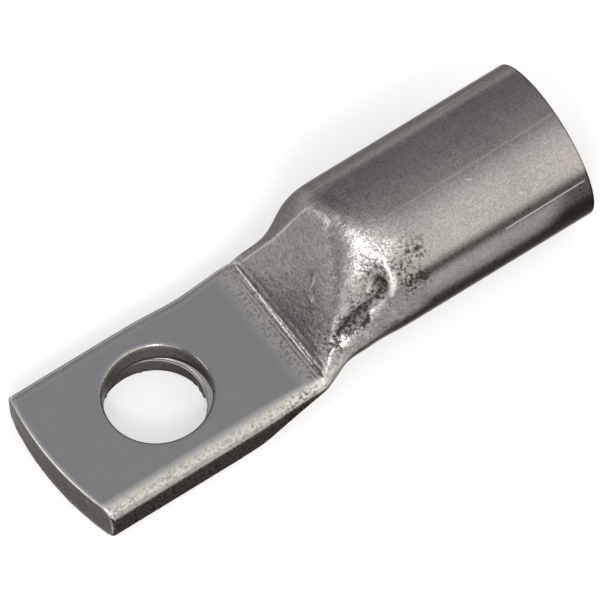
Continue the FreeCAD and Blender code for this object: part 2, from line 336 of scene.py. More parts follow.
@dataclass(frozen=True)
class LugSizes:
    """Driving sizes of the lug in millimetres, the construction model's and two of the heel's skin.

    Attributes:
        tube_diameter: Outer diameter of the tube.
        wall: Thickness of its wall.
        palm_width: Width of the palm.
        palm_reach: From the hole's axis to the cropped end.
        end_bow: Radius of the cropped end's bow.
        upper_edge: Radius of the palm's upper long edges.
        lower_edge: Radius of its lower long edges.
        hole_diameter: Diameter of the bolt hole.
        hole_rim: Radius of the hole's rolled upper rim.
        heel_start: Place along x from which the underside draws in.
        heel_ease: Length over which that sets in on the skin.
        heel_lead: How far ahead of heel_start the skin is still plain.
        crease_distance: From the hole's axis to the crease.
        ramp_run: From the crease to where the ramp meets the tube's top line, along x.
        crown_blend: Half the length over which the ramp blends into the tube.
        barrel_length: From there to the mouth.
        mouth_chamfer: Lead-in of the bore.
        mouth_edge: Rounding of the mouth's outer edge.
    """

    tube_diameter: float = 16.5
    wall: float = 2.5
    palm_width: float = 17.0
    palm_reach: float = 12.3
    end_bow: float = 33.0
    upper_edge: float = 1.6
    lower_edge: float = 1.3
    hole_diameter: float = 10.5
    hole_rim: float = 0.4
    heel_start: float = 6.5
    heel_ease: float = 1.0
    heel_lead: float = 2.5
    crease_distance: float = 13.7
    ramp_run: float = 7.0
    crown_blend: float = 0.9
    barrel_length: float = 24.0
    mouth_chamfer: float = 0.5
    mouth_edge: float = 0.25

    @property
    def radius(self) -> float:
        """Outer radius of the tube."""
        return self.tube_diameter / 2

    @property
    def thickness(self) -> float:
        """Thickness of the palm, which is the two walls pressed together."""
        return 2 * self.wall

    @property
    def crown(self) -> float:
        """Place along the lug where the ramp meets the tube's top line."""
        return self.crease_distance + self.ramp_run

    @property
    def mouth(self) -> float:
        """Place along the lug of the barrel's open end."""
        return self.crown + self.barrel_length

    def on_tube(self, y: float, high: bool) -> Pair:
        """Give the tube's point at a half-width, on its upper or lower half."""
        rise = math.sqrt(self.radius ** 2 - y ** 2)
        return y, self.radius + (rise if high else -rise)

    def sections(self) -> list[Section]:
        """Give the sections from the palm to the round tube.

        Returns:
            The palm's, the crease's, the waist's, the shoulder's and the round tube's section.
        """
        tube = self.radius
        half = self.palm_width / 2
        thick = self.thickness
        palm = Section(self.heel_start, (half - self.lower_edge, 0.0), (half, self.lower_edge),
                       (half, thick - self.upper_edge), (half - self.upper_edge, thick),
                       (0.0, self.lower_edge, 0.0, self.upper_edge, 0.0))
        crease = Section(self.crease_distance, (1.5, 0.0), (8.35, 3.6), (8.35, 3.88), (7.3, thick),
                         (0.0, 8.32, 0.0, 1.122, 0.0))
        waist = Section(16.99, (0.6, 0.022), (8.1, 5.8), (7.975, 7.05), (5.232, 10.405),
                        (tube, 7.75, self.wall, 10.5, 0.0))
        shoulder = Section(self.crown - self.crown_blend, self.on_tube(0.825, False),
                           self.on_tube(8.0025, False), self.on_tube(8.085, True), (3.466, 15.021),
                           (tube, tube, tube, 10.5, 0.0))
        around = Section(self.crown + self.crown_blend, self.on_tube(0.825, False),
                         self.on_tube(8.0025, False), self.on_tube(8.085, True), self.on_tube(2.9, True),
                         (tube, tube, tube, tube, tube))
        return [palm, crease, waist, shoulder, around]

    def skeleton(self, x: np.ndarray) -> np.ndarray:
        """Carry the sections along the lug.

        The heel sets in softly and runs straight from the palm's section to the crease. The neck
        passes the crease, waist and shoulder with even slopes, its ridges stay straight up the
        ramp, and it flows level into the round tube.

        Args:
            x: Places along the lug in millimetres.

        Returns:
            One row of coordinates and half angles for each place.
        """
        palm, *neck = self.sections()
        places = np.array([section.x for section in neck])
        rows = np.array([section.row() for section in neck])
        rise = np.diff(rows, axis=0) / np.diff(places)[:, None]
        gaps = np.diff(places)
        slopes = np.zeros_like(rows)
        slopes[0] = rise[0]
        slopes[1] = (gaps[1] * rise[0] + gaps[0] * rise[1]) / (gaps[0] + gaps[1])
        slopes[2] = (gaps[2] * rise[1] + gaps[1] * rise[2]) / (gaps[1] + gaps[2])
        slopes[2, 6:8] = rise[1, 6:8]
        along = hermite(places, rows, slopes, x)
        reach = places[0] - palm.x
        ease = x - palm.x + np.hypot(x - palm.x, self.heel_ease)
        ease /= reach + math.hypot(reach, self.heel_ease)
        share = np.where(x < palm.x - self.heel_lead, 0.0, ease.clip(0.0, 1.0))[:, None]
        heel = palm.row() * (1.0 - share) + rows[0] * share
        return np.where((x < places[0])[:, None], heel, along)


def section_loop(rows: np.ndarray) -> np.ndarray:
    """Walk round each cross-section.

    The walk starts at the near toe, goes along the underside, up the far side, back over the top
    and down the near side.

    Args:
        rows: Rows as LugSizes.skeleton gives them.

    Returns:
        Points (y, z) of shape rows, COLUMNS, 2.
    """
    flip = np.array([-1.0, 1.0])
    toe, lower, upper, ridge = (rows[:, k:k + 2] for k in (0, 2, 4, 6))
    corners = [toe * flip, toe, lower, upper, ridge, ridge * flip, upper * flip, lower * flip, toe * flip]
    kinds = (8, 9, 10, 11, 12, 11, 10, 9)
    walk = [arc(corners[k], corners[k + 1], rows[:, kind], EDGE_STEPS[k]) for k, kind in enumerate(kinds)]
    return np.concatenate(walk, axis=1)


def surface_normals(points: np.ndarray) -> np.ndarray:
    """Give the outward normals of a grid, as the cross product of its two directions.

    Args:
        points: Positions of rows along x and columns round the lug.

    Returns:
        Unit normals.
    """
    round_step = np.roll(points, -1, axis=1) - np.roll(points, 1, axis=1)
    along_step = np.gradient(points, axis=0)
    normal = np.cross(round_step, along_step)
    return normal / np.maximum(np.linalg.norm(normal, axis=-1, keepdims=True), 1e-12)


@dataclass(frozen=True)
class PressMarks:
    """What the press left on the neck: pinched sides, a folded near shoulder and the coined crease.

    Attributes:
        flat: The flat over the near shoulder.
        folds: Broad folds of the near shoulder, which are rounded off afterwards.
        wrinkles: Fine ridges and valleys that stay crisp.
        mauled: Centres (x, y, z) of the patches that the press mauled.
        crease_lines: Place along x, height and width of each line of the coined crease.
        crease_skew: How far the crease runs askew, in millimetres along x for each across.
        first_rounds: Rounds of rounding before the folds.
        last_rounds: Rounds of rounding after them.
    """

    flat: Facet = Facet((20.0, -3.4, 13.85), (-0.42, -0.48, 0.77), 0.35, 14.5)
    folds: tuple[Stroke, ...] = (
        Stroke(((15.1, -7.0, 7.0), (17.3, -7.3, 9.2), (19.2, -7.3, 10.8), (20.9, -7.2, 12.0),
                (21.5, -6.2, 13.6), (21.8, -5.2, 14.6)), -0.85, 1.15, 2.0),
        Stroke(((23.3, -5.7, 14.2), (22.8, -6.9, 12.8), (22.2, -7.8, 11.0)), 0.65, 0.95, 1.6),
    )
    wrinkles: tuple[Stroke, ...] = (
        Stroke(((16.0, -6.95, 8.1), (17.3, -7.2, 9.4), (19.2, -7.3, 10.8), (20.9, -7.2, 12.0),
                (21.7, -5.9, 14.0)), -0.42, 0.72, 1.5),
        Stroke(((21.9, -3.8, 15.3), (21.9, -4.6, 14.9)), 0.15, 0.85, 0.8),
        Stroke(((22.9, -6.2, 13.6), (22.4, -7.2, 12.3), (22.0, -7.9, 11.0)), 0.3, 0.6, 1.0),
        Stroke(((24.0, -6.4, 13.4), (25.4, -7.2, 12.3)), -0.2, 0.9, 0.9),
        Stroke(((13.0, -7.7, 4.9), (13.9, -7.5, 5.4), (15.2, -6.95, 7.2)), 0.07, 0.3, 1.2),
        Stroke(((16.0, -7.35, 7.2), (16.9, -7.6, 7.9)), 0.06, 0.35, 0.8),
        Stroke(((17.2, -1.3, 10.7), (17.7, -0.6, 11.5)), -0.05, 0.2, 0.3),
        Stroke(((16.9, -1.9, 10.2), (17.5, -1.2, 11.2)), 0.05, 0.2, 0.3),
        Stroke(((16.5, -2.3, 9.6), (17.1, -1.6, 10.6)), -0.05, 0.2, 0.3),
        Stroke(((16.1, -2.6, 8.9), (16.7, -2.1, 9.9)), 0.05, 0.2, 0.3),
    )
    mauled: tuple[Triple, ...] = (
        (21.2, -6.0, 13.3), (20.7, -6.7, 11.7), (24.3, -6.7, 13.1), (24.6, -7.6, 11.6), (19.2, -6.6, 10.5),
        (17.4, -6.6, 9.0), (15.9, -6.7, 7.7), (25.8, -5.9, 14.0), (21.9, -5.4, 14.3))
    crease_lines: tuple[Triple, ...] = (
        (13.14, -0.06, 0.1), (13.54, -0.065, 0.1), (13.94, -0.06, 0.1), (14.34, -0.03, 0.1))
    crease_skew: float = -0.02
    first_rounds: int = 70
    last_rounds: int = 90

    def pinch(self, points: np.ndarray) -> np.ndarray:
        """Draw the sides in beside the neck, more and more from the middle outwards.

        Either side moves by humps along x, times a smooth rise with the distance from the middle.

        Args:
            points: The plain outside.

        Returns:
            The outside with its sides moved towards the middle.
        """
        x, y = points[..., 0], points[..., 1]
        far = 0.62 * bump(x, 17.6, 2.3) + 0.28 * bump(x, 7.2, 3.2) - 0.08 * bump(x, 12.7, 1.1)
        near = 0.28 * bump(x, 17.0, 1.9) + 0.16 * bump(x, 20.8, 1.8)
        points = points.copy()
        points[..., 1] += near * smooth_step(-3.0, -7.5, y) - far * smooth_step(3.0, 7.5, y)
        return points

    def rounding(self, points: np.ndarray) -> np.ndarray:
        """Give where the edges are rounded off: much on the near shoulder, a little elsewhere.

        Each of the three parts is a product of smooth steps along x, y and z, and the largest
        counts. The near part's lower limit is level behind x = 20 and sinks towards the crease.

        Args:
            points: The outside.

        Returns:
            Weights from 0 to 1 for relax.
        """
        x, y, z = points[..., 0], points[..., 1], points[..., 2]
        near = smooth_step(0.6, -3.0, y) * smooth_step(13.6, 15.8, x) * smooth_step(26.0, 23.5, x)
        far = 0.035 * smooth_step(1.0, 3.0, y) * smooth_step(14.0, 16.0, x) * smooth_step(24.0, 21.0, x)
        crown = 0.02 * smooth_step(13.5, 15.0, z) * smooth_step(18.0, 20.0, x) * smooth_step(25.0, 23.0, x)
        near = near * smooth_step(7.4, 9.2, z - 0.45 * np.minimum(x - 20.0, 0.0))
        return np.maximum(np.maximum(near, far * smooth_step(5.0, 6.8, z)), crown)

    def crease(self, points: np.ndarray, normal: np.ndarray) -> np.ndarray:
        """Give the coined crease's lines, each a bell-shaped groove across the top.

        Args:
            points: The outside.
            normal: Its normals.

        Returns:
            Heights over the surface.
        """
        along = points[..., 0] - self.crease_skew * points[..., 1]
        upward = smooth_step(0.2, 0.5, normal[..., 2]) * smooth_step(7.9, 7.1, np.abs(points[..., 1]))
        height = np.zeros(along.shape)
        for place, lift, width in self.crease_lines:
            height += lift * bump(along, place, width)
        return height * upward

    def apply(self, points: np.ndarray) -> np.ndarray:
        """Press the marks into the outside's grid.

        The sides are pinched and the flat is pressed. The edges are rounded off before the folds
        are pushed along the normals, so that the folds don't overlap, and again after them. The
        crease's lines and the wrinkles come last and stay crisp. No point goes below the floor.

        Args:
            points: The plain outside.

        Returns:
            The marked outside.
        """
        points = self.flat.press(self.pinch(points))
        soft = self.rounding(points)
        points = relax(points, soft, self.first_rounds)
        normal = surface_normals(points)
        height = np.zeros(points.shape[:-1])
        for stroke in self.folds:
            height += stroke.lift(points)
        points = relax(points + height[..., None] * normal, soft, self.last_rounds)
        normal = surface_normals(points)
        height = self.crease(points, normal)
        for stroke in self.wrinkles:
            height += stroke.lift(points)
        points = points + height[..., None] * normal
        points[..., 2] = np.maximum(points[..., 2], 0.0)
        return points


@dataclass
class BoltHole:
    """The punched bolt hole, as rings that replace the middle of the palm's grid.

    Attributes:
        radius: Radius of the hole.
        rim: Radius of its rolled upper edge.
        seam: Height at which the two pressed walls meet.
        inner_ring: Index ring of the grid that becomes the rim.
        outer_ring: Index ring at which the grid is plain again.
        crowding: Power of the ring's share; above 1 the rings stand closer by the rim.
        slip: How far along x and y the lower wall's hole sits off the upper one's.
        lower_gap: How much wider than the hole the underside's ring is.
        tear: How far the lower edge is torn.
    """

    radius: float
    rim: float
    seam: float
    inner_ring: int = 22
    outer_ring: int = 32
    crowding: float = 1.15
    slip: Pair = (-0.42, 0.48)
    lower_gap: float = 0.06
    tear: float = 0.17

    def ring(self, k: int) -> tuple[np.ndarray, np.ndarray]:
        """Give the grid steps of index ring k, anticlockwise seen from above.

        Args:
            k: Ring number, which is also half its side in grid steps.

        Returns:
            Steps along x and along y, 8k of each.
        """
        up = np.arange(-k, k)
        full = np.full(2 * k, k)
        return np.concatenate([full, -up, -full, up]), np.concatenate([up, full, -up, -full])

    def angles(self, k: int) -> np.ndarray:
        """Give evenly spaced angles for the points of index ring k."""
        return (np.arange(8 * k) / (8 * k) - 0.125) * 2 * math.pi

    def spread(self, points: np.ndarray, middle_row: int, middle_column: int, way: int,
               radius: float, centre: Pair) -> None:
        """Bend the grid round the hole, in place.

        Ring k lies between a circle and the plain square ring, at the share of its number.

        Args:
            points: Grid of the lug's outside.
            middle_row: Row at the hole's axis.
            middle_column: Column at the hole's axis.
            way: 1 where columns run towards far, -1 where they run towards near.
            radius: Radius that the inner ring takes.
            centre: The circle's centre (x, y).
        """
        step_x, step_y = self.ring(self.outer_ring)
        outer = points[middle_row + step_x, middle_column + way * step_y, :2]
        outer_share = np.arange(len(outer) + 1) / len(outer)
        closed = np.vstack([outer, outer[:1]])
        for k in range(self.inner_ring, self.outer_ring):
            share = ((k - self.inner_ring) / (self.outer_ring - self.inner_ring)) ** self.crowding
            where = np.arange(8 * k) / (8 * k)
            square = np.stack([np.interp(where, outer_share, closed[:, c]) for c in (0, 1)], axis=-1)
            angle = self.angles(k)
            circle = radius * np.stack([np.cos(angle), np.sin(angle)], axis=-1) + centre
            dx, dy = self.ring(k)
            rows = middle_row + dx
            columns = middle_column + way * dy
            points[rows, columns, :2] = circle * (1.0 - share) + square * share

    def wall(self, top: float) -> np.ndarray:
        """Give the rows of the hole's wall below the rim.

        The rim is a quarter round. The wall stands straight to the seam between the two pressed
        walls, where a fine groove runs, and goes on below it about an axis that has slipped. Near
        the underside a noise moves it in and out.

        Args:
            top: Height of the palm's top.

        Returns:
            Points of shape rows, 8 times the inner ring, 3.
        """
        angle = self.angles(self.inner_ring)
        bend = np.linspace(0.0, math.pi / 2, 7)[1:]
        rim_radius = self.radius + self.rim * (1.0 - np.sin(bend))
        rim_height = top - self.rim * (1.0 - np.cos(bend))
        seam = self.seam
        upper = [(self.radius, 3.9), (self.radius, 3.2), (self.radius, seam + 0.16)]
        groove = [(self.radius + 0.05, seam + 0.09), (self.radius + 0.16, seam + 0.03)]
        lower = [(self.radius + 0.1, seam - 0.03), (self.radius, seam - 0.09),
                 (self.radius - 0.1, seam - 0.28), (self.radius - 0.12, seam - 0.5), (self.radius - 0.1, 1.5),
                 (self.radius - 0.08, 1.0), (self.radius - 0.05, 0.6), (self.radius - 0.02, 0.25)]
        profile = [*zip(rim_radius, rim_height), *upper, *groove, *lower]
        reach = np.array([r for r, _ in profile])[:, None]
        height = np.array([z for _, z in profile])[:, None]
        below = np.where(height < seam, 1.0, 0.0)
        points = np.stack([reach * np.cos(angle) + self.slip[0] * below,
                           reach * np.sin(angle) + self.slip[1] * below, height + 0.0 * angle], axis=-1)
        torn = smooth_step(1.3, 0.3, points[..., 2])
        rough = lattice_noise(points * [1.0, 1.0, 0.4], 0.42, 5)
        out = np.stack([np.cos(angle), np.sin(angle), 0.0 * angle], axis=-1)
        return points + (self.tear * torn * rough)[..., None] * out


@dataclass
class CableLug:
    """The whole lug as one closed skin: palm, heel, neck, barrel, mouth, bore and throat.

    Attributes:
        sizes: The driving sizes.
        end_round: Radius of the cropped end's edges.
        end_skew: Slope of the cropped end across the palm.
        bend_end: Place along x up to which the palm's rows follow the cropped end.
        burr: Depth of the burr on the cropped end's lower edge.
        crease_rows: Places along x between which the rows stand close.
        neck_end: Place along x where the neck's rows end.
        palm_step: Row spacing over the palm.
        crease_step: Row spacing over the crease.
        barrel_step: Space between the neck's last row and the barrel's first.
        bore_end: Place along x where the bore ends and the throat starts.
        throat_length: Length over which the throat flattens and narrows.
        throat_ceiling: Place along x and height of the throat's ceiling, from its inner end.
        throat_rows: Places along x of the throat's first and last row.
    """

    sizes: LugSizes = LugSizes()
    end_round: float = 0.25
    end_skew: float = 0.045
    bend_end: float = -7.6
    burr: float = 0.1
    crease_rows: Pair = (12.0, 15.2)
    neck_end: float = 23.2
    palm_step: float = 0.2
    crease_step: float = 0.1
    barrel_step: float = 0.4
    bore_end: float = 22.1
    throat_length: float = 6.4
    throat_ceiling: tuple[Pair, Pair] = ((15.7, 3.6), (18.6, 8.3))
    throat_rows: Pair = (21.6, 15.8)

    def hole(self) -> BoltHole:
        """Give the bolt hole of these sizes."""
        return BoltHole(self.sizes.hole_diameter / 2, self.sizes.hole_rim, self.sizes.wall)

    def outer_rows(self) -> np.ndarray:
        """Give the outside's rows, with one row at the hole's axis.

        Returns:
            Rising places along x.
        """
        start = -self.sizes.palm_reach + self.end_round
        last = self.sizes.mouth - self.sizes.mouth_edge
        first, after = self.crease_rows
        from_step, to_step = (round(place / self.palm_step) for place in (self.bend_end, first))
        palm = np.arange(from_step, to_step) * self.palm_step
        end = np.linspace(start, palm[0], 24, endpoint=False)
        crease = np.arange(first, after, self.crease_step)
        neck = np.arange(after, self.neck_end, self.palm_step * 0.8)
        barrel = np.linspace(neck[-1] + self.barrel_step, last, 54)
        return np.concatenate([end, palm, crease, neck, barrel])

    def end_place(self, y: np.ndarray) -> np.ndarray:
        """Give how far the cropped end lies behind its furthest point, at a width y.

        The end is an arc of the bow's radius, R - sqrt(R^2 - y^2), that is a little askew, as a
        worn crop leaves it.

        Args:
            y: Widths in millimetres.

        Returns:
            Distances along x, from 0 upwards.
        """
        bow = self.sizes.end_bow
        return bow - np.sqrt(bow ** 2 - y ** 2) - self.end_skew * y + 0.04

    def outside(self) -> np.ndarray:
        """Give the grid of the outside, from the cropped end to the mouth's edge.

        The first rows turn the section's rim round by the end's small radius, and all rows of
        the palm's tip are bent to follow the cropped arc, less and less towards the hole. The
        burr draws the lower edge in by a noise.

        Returns:
            Points of shape rows, COLUMNS, 3.
        """
        x = self.outer_rows()
        loop = section_loop(self.sizes.skeleton(x))
        points = np.concatenate([np.broadcast_to(x[:, None, None], (*loop.shape[:2], 1)), loop], axis=-1)
        normal = surface_normals(points)[:1]
        bend = np.linspace(0.0, math.pi / 2, 6)[:-1, None]
        inset = self.end_round * (1.0 - np.sin(bend))
        back = -self.sizes.palm_reach + self.end_round * (1.0 - np.cos(bend))
        tip = np.repeat(points[:1], len(bend), axis=0) - inset[..., None] * normal
        tip[..., 0] = back
        points = np.concatenate([tip, points])
        hold = np.clip((self.bend_end - points[..., 0]) / (self.bend_end + self.sizes.palm_reach), 0.0, 1.0)
        points[..., 0] += self.end_place(points[..., 1]) * hold
        lower = smooth_step(0.9, 0.2, points[..., 2]) * smooth_step(0.9, 1.0, hold)
        points[..., 0] += self.burr * lower * (1.0 + lattice_noise(points, 0.35, 7))
        return points

    def mouth_and_bore(self, outline: np.ndarray) -> np.ndarray:
        """Give the rows of the mouth, the bore and the throat.

        Each row is the tube's outline drawn in about the tube's axis. The throat's rows are
        ovals that flatten and narrow as the walls come together under the ramp: at a share t of
        its length their width is the bore's times sqrt(1 - 0.8 t^2).

        Args:
            outline: The outside's last row.

        Returns:
            Points of shape rows, COLUMNS, 3.
        """
        sizes = self.sizes
        axis = sizes.radius
        ray = (outline[:, 1:] - [0.0, axis]) / sizes.radius
        bore = sizes.radius - sizes.wall
        end = sizes.mouth
        edge = sizes.mouth_edge
        lead = sizes.mouth_chamfer
        face = [(end - 0.5 * edge, sizes.radius), (end - 0.15 * edge, sizes.radius - 0.1 * edge),
                (end, sizes.radius - 0.5 * edge), (end, sizes.radius - 0.9), (end, bore + lead + 0.4),
                (end, bore + lead), (end - 0.5 * lead, bore + 0.45 * lead), (end - lead, bore)]
        straight = [(x, bore) for x in np.linspace(end - lead - 0.6, self.bore_end, 14)]
        profile = np.array(face + straight)
        rows = np.empty((len(profile), COLUMNS, 3))
        rows[..., 0] = profile[:, :1]
        rows[..., 1] = profile[:, 1:] * ray[:, 0]
        rows[..., 2] = axis + profile[:, 1:] * ray[:, 1]
        (inner_end, low), (middle, half_way) = self.throat_ceiling
        x = np.linspace(*self.throat_rows, 11)
        share = (self.bore_end - x) / self.throat_length
        ceiling = np.interp(x, [inner_end, middle, self.bore_end], [low, half_way, axis + bore])
        floor = np.full_like(x, axis - bore)
        half_width = bore * np.sqrt(1.0 - 0.8 * share ** 2)
        throat = np.empty((len(x), COLUMNS, 3))
        throat[..., 0] = x[:, None]
        throat[..., 1] = half_width[:, None] * ray[:, 0]
        throat[..., 2] = (0.5 * (ceiling + floor))[:, None] + (0.5 * (ceiling - floor))[:, None] * ray[:, 1]
        return np.concatenate([rows, throat])

    def end_cap(self, rim: np.ndarray) -> np.ndarray:
        """Fill the cropped end with a grid between its four edges.

        A point is the mean of the lines between top and bottom and between the two sides, less
        the plane through the four corners, and it lies on the cropped arc.

        Args:
            rim: The outside's first row.

        Returns:
            Points of shape 69, 77, 3, from far to near and from top to bottom.
        """
        grid = rim[self.cap_indices()]
        across = np.linspace(0.0, 1.0, grid.shape[0])[:, None, None]
        down = np.linspace(0.0, 1.0, grid.shape[1])[None, :, None]
        top, bottom = grid[:, :1], grid[:, -1:]
        far, near = grid[:1], grid[-1:]
        patch = top * (1 - down) + bottom * down + far * (1 - across) + near * across
        patch -= (far[:, :1] * (1 - across) * (1 - down) + far[:, -1:] * (1 - across) * down
                  + near[:, :1] * across * (1 - down) + near[:, -1:] * across * down)
        patch[..., 0] = -self.sizes.palm_reach + self.end_place(patch[..., 1])
        inner = patch[1:-1, 1:-1]
        inner[..., 0] += 0.03 * (1.0 + lattice_noise(inner, 0.5, 11))
        return patch

    def cap_indices(self) -> np.ndarray:
        """Give the rim's column for each border point of the cap's grid.

        Returns:
            Columns of shape 69, 77, with 0 inside the border.
        """
        across, down = EDGE_STEPS[4], sum(EDGE_STEPS[5:])
        table = np.zeros((across + 1, down + 1), dtype=int)
        table[:, 0] = TOP_START + np.arange(across + 1)
        table[:, -1] = EDGE_STEPS[0] - np.arange(across + 1)
        table[0] = TOP_START - np.arange(down + 1)
        table[-1] = (TOP_START + across + np.arange(down + 1)) % COLUMNS
        return table

    def build(self) -> tuple[np.ndarray, np.ndarray]:
        """Build the skin.

        The outside and the inside are one grid. The hole's wall joins its upper and lower rings,
        the cap's border is the first row, and a fan of triangles closes the throat.

        Returns:
            Vertices in millimetres, and faces as rows of four indices. A triangle repeats its
            last index.
        """
        outside = self.outside()
        hole = self.hole()
        shift = len(outside) - len(self.outer_rows())
        middle = shift + int(np.argmin(np.abs(self.outer_rows())))
        hole.spread(outside, middle, TOP_MIDDLE, -1, hole.radius + hole.rim, (0.0, 0.0))
        hole.spread(outside, middle, UNDERSIDE_MIDDLE, 1, hole.radius + hole.lower_gap, hole.slip)
        outside = PressMarks().apply(outside)
        grid = np.concatenate([outside, self.mouth_and_bore(outside[-1])])
        rows = len(grid)
        index = np.arange(rows * COLUMNS).reshape(rows, COLUMNS)
        beside = np.roll(index, -1, axis=1)
        quads = np.stack([index[:-1], beside[:-1], beside[1:], index[1:]], axis=-1)
        keep = np.ones(quads.shape[:2], dtype=bool)
        near_rows = slice(middle - hole.inner_ring, middle + hole.inner_ring)
        for column in (TOP_MIDDLE, UNDERSIDE_MIDDLE):
            keep[near_rows, column - hole.inner_ring:column + hole.inner_ring] = False
        faces = [quads[keep]]
        vertices = [grid.reshape(-1, 3)]
        count = rows * COLUMNS

        step_x, step_y = hole.ring(hole.inner_ring)
        wall = hole.wall(self.sizes.thickness)
        wall_index = count + np.arange(wall.shape[0] * wall.shape[1]).reshape(wall.shape[:2])
        upper = index[middle + step_x, TOP_MIDDLE - step_y][None]
        lower = index[middle + step_x, UNDERSIDE_MIDDLE + step_y][None]
        faces.append(self.band(np.concatenate([upper, wall_index, lower])))
        vertices.append(wall.reshape(-1, 3))
        count += wall_index.size

        cap = self.end_cap(outside[0])
        table = self.cap_indices()
        inner = cap[1:-1, 1:-1]
        table[1:-1, 1:-1] = count + np.arange(inner.shape[0] * inner.shape[1]).reshape(inner.shape[:2])
        vertices.append(inner.reshape(-1, 3))
        count += inner.shape[0] * inner.shape[1]
        faces.append(np.stack([table[:-1, :-1], table[:-1, 1:], table[1:, 1:], table[1:, :-1]],
                              axis=-1).reshape(-1, 4))

        pole = grid[-1].mean(axis=0, keepdims=True)
        pole_index = np.full(COLUMNS, count)
        vertices.append(pole)
        faces.append(np.stack([index[-1], beside[-1], pole_index, pole_index], axis=-1))
        return np.concatenate(vertices), np.concatenate(faces)

    @staticmethod
    def band(ring_index: np.ndarray) -> np.ndarray:
        """Join rows of a closed ring into quads.

        Args:
            ring_index: Vertex indices of shape rows, columns.

        Returns:
            Quads as rows of four indices.
        """
        beside = np.roll(ring_index, -1, axis=1)
        return np.stack([ring_index[:-1], beside[:-1], beside[1:], ring_index[1:]], axis=-1).reshape(-1, 4)

    def dress(self) -> bpy.types.Object:
        """Build the lug's object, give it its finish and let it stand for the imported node.

        Returns:
            The object, without the vertices that no face uses.
        """
        vertices, faces = self.build()
        used = np.unique(faces)
        renumber = np.zeros(len(vertices), dtype=int)
        renumber[used] = np.arange(len(used))
        piece = mesh_object("lug_skin", vertices[used] * MM, renumber[faces])
        store_marks_and_painted_light(piece.data)
        piece.data.materials.append(TinnedCopper().material())
        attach(piece, "root")
        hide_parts(NODE)
        LOG.info("lug_skin: %d vertices, %d triangles", len(piece.data.vertices),
                 sum(len(p.vertices) - 2 for p in piece.data.polygons))
        return piece


def mesh_object(name: str, vertices: np.ndarray, faces: np.ndarray) -> bpy.types.Object:
    """Put arrays into a smooth mesh object at the origin.

    Args:
        name: The object's name.
        vertices: Positions in metres.
        faces: Rows of four indices; a triangle repeats its last one.

    Returns:
        The linked object, with edges sharper than 65 degrees left sharp.
    """
    triangle = faces[:, 2] == faces[:, 3]
    rows = [*faces[~triangle].tolist(), *faces[triangle, :3].tolist()]
    mesh = bpy.data.meshes.new(name)
    mesh.from_pydata(vertices.tolist(), [], rows)
    mesh.validate()
    mesh.shade_smooth()
    mesh.set_sharp_from_angle(angle=math.radians(65))
    piece = bpy.data.objects.new(name, mesh)
    bpy.context.scene.collection.objects.link(piece)
    return piece


def add_node(tree: bpy.types.NodeTree, kind: str, settings: dict | None = None,
             **links: object) -> bpy.types.Node:
    """Add a node with its settings and its inputs.

    Args:
        tree: Tree that gets the node.
        kind: Its type name.
        settings: Attributes of the node.
        links: Inputs by name with underscores for blanks, or in_0, in_1 by place; each is a
            constant or another node's output socket.

    Returns:
        The node.
    """
    node = tree.nodes.new(kind)
    for key, value in (settings or {}).items():
        setattr(node, key, value)
    for key, value in links.items():
        name = int(key[3:]) if key.startswith("in_") else key.replace("_", " ")
        socket = node.inputs[name]
        if isinstance(value, bpy.types.NodeSocket):
            tree.links.new(value, socket)
        else:
            socket.default_value = value
    return node


class SkinLayer(Enum):
    """What handling and pressing left on the skin, with painted shade and painted highlight, each kept
    as a number at every vertex.

    Pressed is the neck, which the press gripped. The side that faces down gets painted shade, as do
    a little of the ramp and of the neck's far side. Where the skin is strongly convex, and at the
    seam in the hole, it is lighter: wear, with a painted highlight. The concave skin behind the
    crease gets painted shade. Palm is the palm's top. Coined is the crease and the cropped end's
    lower part. The cropped end, the hole and the mouth are dull cut faces, with stronger painted
    shade on the hole's wall. A dark line along the barrel is a painted dark reflection, and a dark
    patch by its mouth is painted shade. Mauled is round the near shoulder's patches and along the
    palm's near edge, most at both ends of that.
    """

    PRESSED = "pressed"
    BELOW = "below"
    EDGE_WEAR_AND_HIGHLIGHT = "edge_wear_and_highlight"
    PAINTED_HOLLOW_SHADE = "painted_hollow_shade"
    PALM = "palm"
    COINED = "coined"
    SHEARED_AND_HOLE_SHADE = "sheared_and_hole_shade"
    PAINTED_DARK_REFLECTION_AND_SHADE = "painted_dark_reflection_and_shade"
    MAULED = "mauled"


def vertex_bend(mesh: bpy.types.Mesh, place: np.ndarray, normal: np.ndarray) -> np.ndarray:
    """Give how strongly the skin bends at each vertex.

    The bend is the mean over the vertex's edges of how much the normal turns along the edge, for
    each millimetre. It is positive where the skin is convex.

    Args:
        mesh: The lug's mesh.
        place: Its vertices in millimetres.
        normal: Their normals.

    Returns:
        One bend for each vertex.
    """
    ends = np.empty(len(mesh.edges) * 2, dtype=int)
    mesh.edges.foreach_get("vertices", ends)
    ends = ends.reshape(-1, 2)
    run = place[ends[:, 1]] - place[ends[:, 0]]
    turn = np.sum((normal[ends[:, 1]] - normal[ends[:, 0]]) * run, axis=1)
    turn /= np.maximum(np.sum(run ** 2, axis=1), 1e-6)
    total = np.bincount(ends.ravel(), np.repeat(turn, 2), len(place))
    return total / np.maximum(np.bincount(ends.ravel(), minlength=len(place)), 1)


